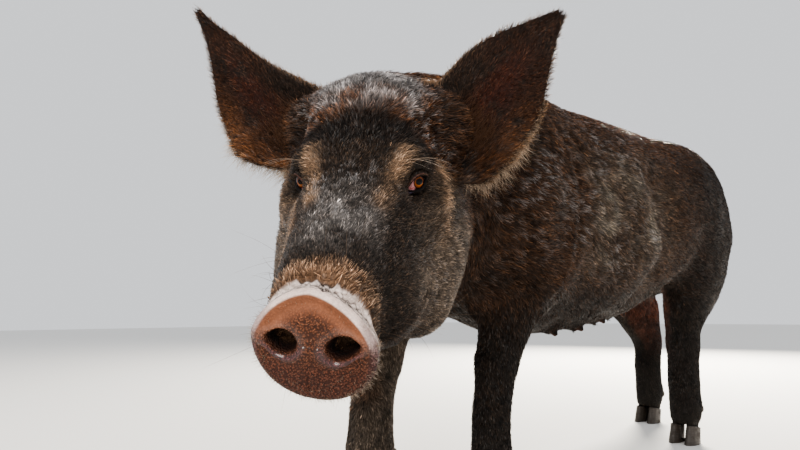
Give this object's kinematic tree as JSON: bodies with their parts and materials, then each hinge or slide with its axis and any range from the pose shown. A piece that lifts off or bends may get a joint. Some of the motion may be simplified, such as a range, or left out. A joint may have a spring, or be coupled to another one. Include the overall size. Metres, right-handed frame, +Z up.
{
  "type": "pig",
  "caption": "A standing reddish-brown pig at life size, head turned and lowered, with large pricked ears and a disc-shaped snout; a still display model.",
  "frame": {"origin": "on the ground under the middle of the animal's bounding box", "axes": "+Z up, the pig faces -Y, its left side is +X"},
  "size_m": [0.448, 1.3604, 0.6908],
  "materials": {
    "hide": "short bristly coat over skin",
    "dark_hide": "dark muddy coat",
    "snout_skin": "bare moist pebbled skin",
    "eye": "wet gloss",
    "horn": "dull worn horn"
  },
  "bodies": {
    "root": {"foreleg_left_upper": "hide", "foreleg_left_lower": "dark_hide", "foreleg_left_foot": "dark_hide", "foreleg_left_hoof_inner": "horn", "foreleg_left_dewclaw_inner": "horn", "foreleg_left_hoof_outer": "horn", "foreleg_left_dewclaw_outer": "horn", "hindleg_left_upper": "hide", "hindleg_left_lower": "dark_hide", "hindleg_left_foot": "dark_hide", "hindleg_left_hoof_inner": "horn", "hindleg_left_dewclaw_inner": "horn", "hindleg_left_hoof_outer": "horn", "hindleg_left_dewclaw_outer": "horn", "foreleg_right_upper": "hide", "foreleg_right_lower": "dark_hide", "foreleg_right_foot": "dark_hide", "foreleg_right_hoof_outer": "horn", "foreleg_right_dewclaw_outer": "horn", "foreleg_right_hoof_inner": "horn", "foreleg_right_dewclaw_inner": "horn", "hindleg_right_upper": "hide", "hindleg_right_lower": "dark_hide", "hindleg_right_foot": "dark_hide", "hindleg_right_hoof_outer": "horn", "hindleg_right_dewclaw_outer": "horn", "hindleg_right_hoof_inner": "horn", "hindleg_right_dewclaw_inner": "horn", "eye_left": "eye", "eye_right": "eye", "head": "hide", "neck": "hide", "ear_left": "hide", "ear_right": "hide", "snout": "snout_skin", "lower_jaw": "hide", "trunk": "hide", "tail": "hide"}
  },
  "joints": []
}
